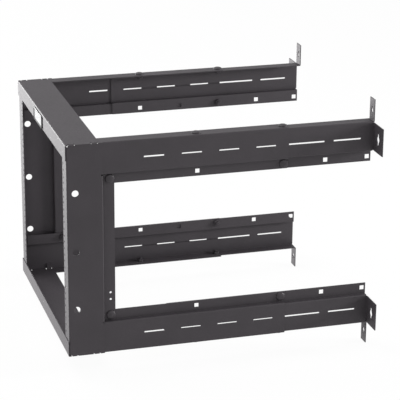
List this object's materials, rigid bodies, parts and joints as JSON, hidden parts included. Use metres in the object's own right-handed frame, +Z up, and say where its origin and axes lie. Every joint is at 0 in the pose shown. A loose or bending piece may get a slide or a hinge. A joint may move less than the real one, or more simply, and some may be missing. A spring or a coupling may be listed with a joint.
{
  "type": "wall mount rack",
  "caption": "Open wall mount rack for 19-inch equipment: a front frame with tapped mounting flanges, carried on telescoping slotted side arms that end in wall flanges.",
  "frame": {"origin": "on the wall face of the lower left wall flange, between its keyhole and its inner edge", "axes": "+X to the right seen from the front, +Y out of the back into the wall, +Z up"},
  "size_m": [0.632, 0.697, 0.58],
  "materials": {
    "powder_coat": "matt black powder coat with a fine texture"
  },
  "bodies": {
    "root": {"right_post": "powder_coat", "left_post": "powder_coat", "top_crossmember": "powder_coat", "bottom_crossmember": "powder_coat", "upper_right_front_arm": "powder_coat", "upper_left_front_arm": "powder_coat", "lower_right_front_arm": "powder_coat", "lower_left_front_arm": "powder_coat", "upper_right_rear_arm": "powder_coat", "upper_left_rear_arm": "powder_coat", "lower_right_rear_arm": "powder_coat", "lower_left_rear_arm": "powder_coat"}
  },
  "joints": []
}
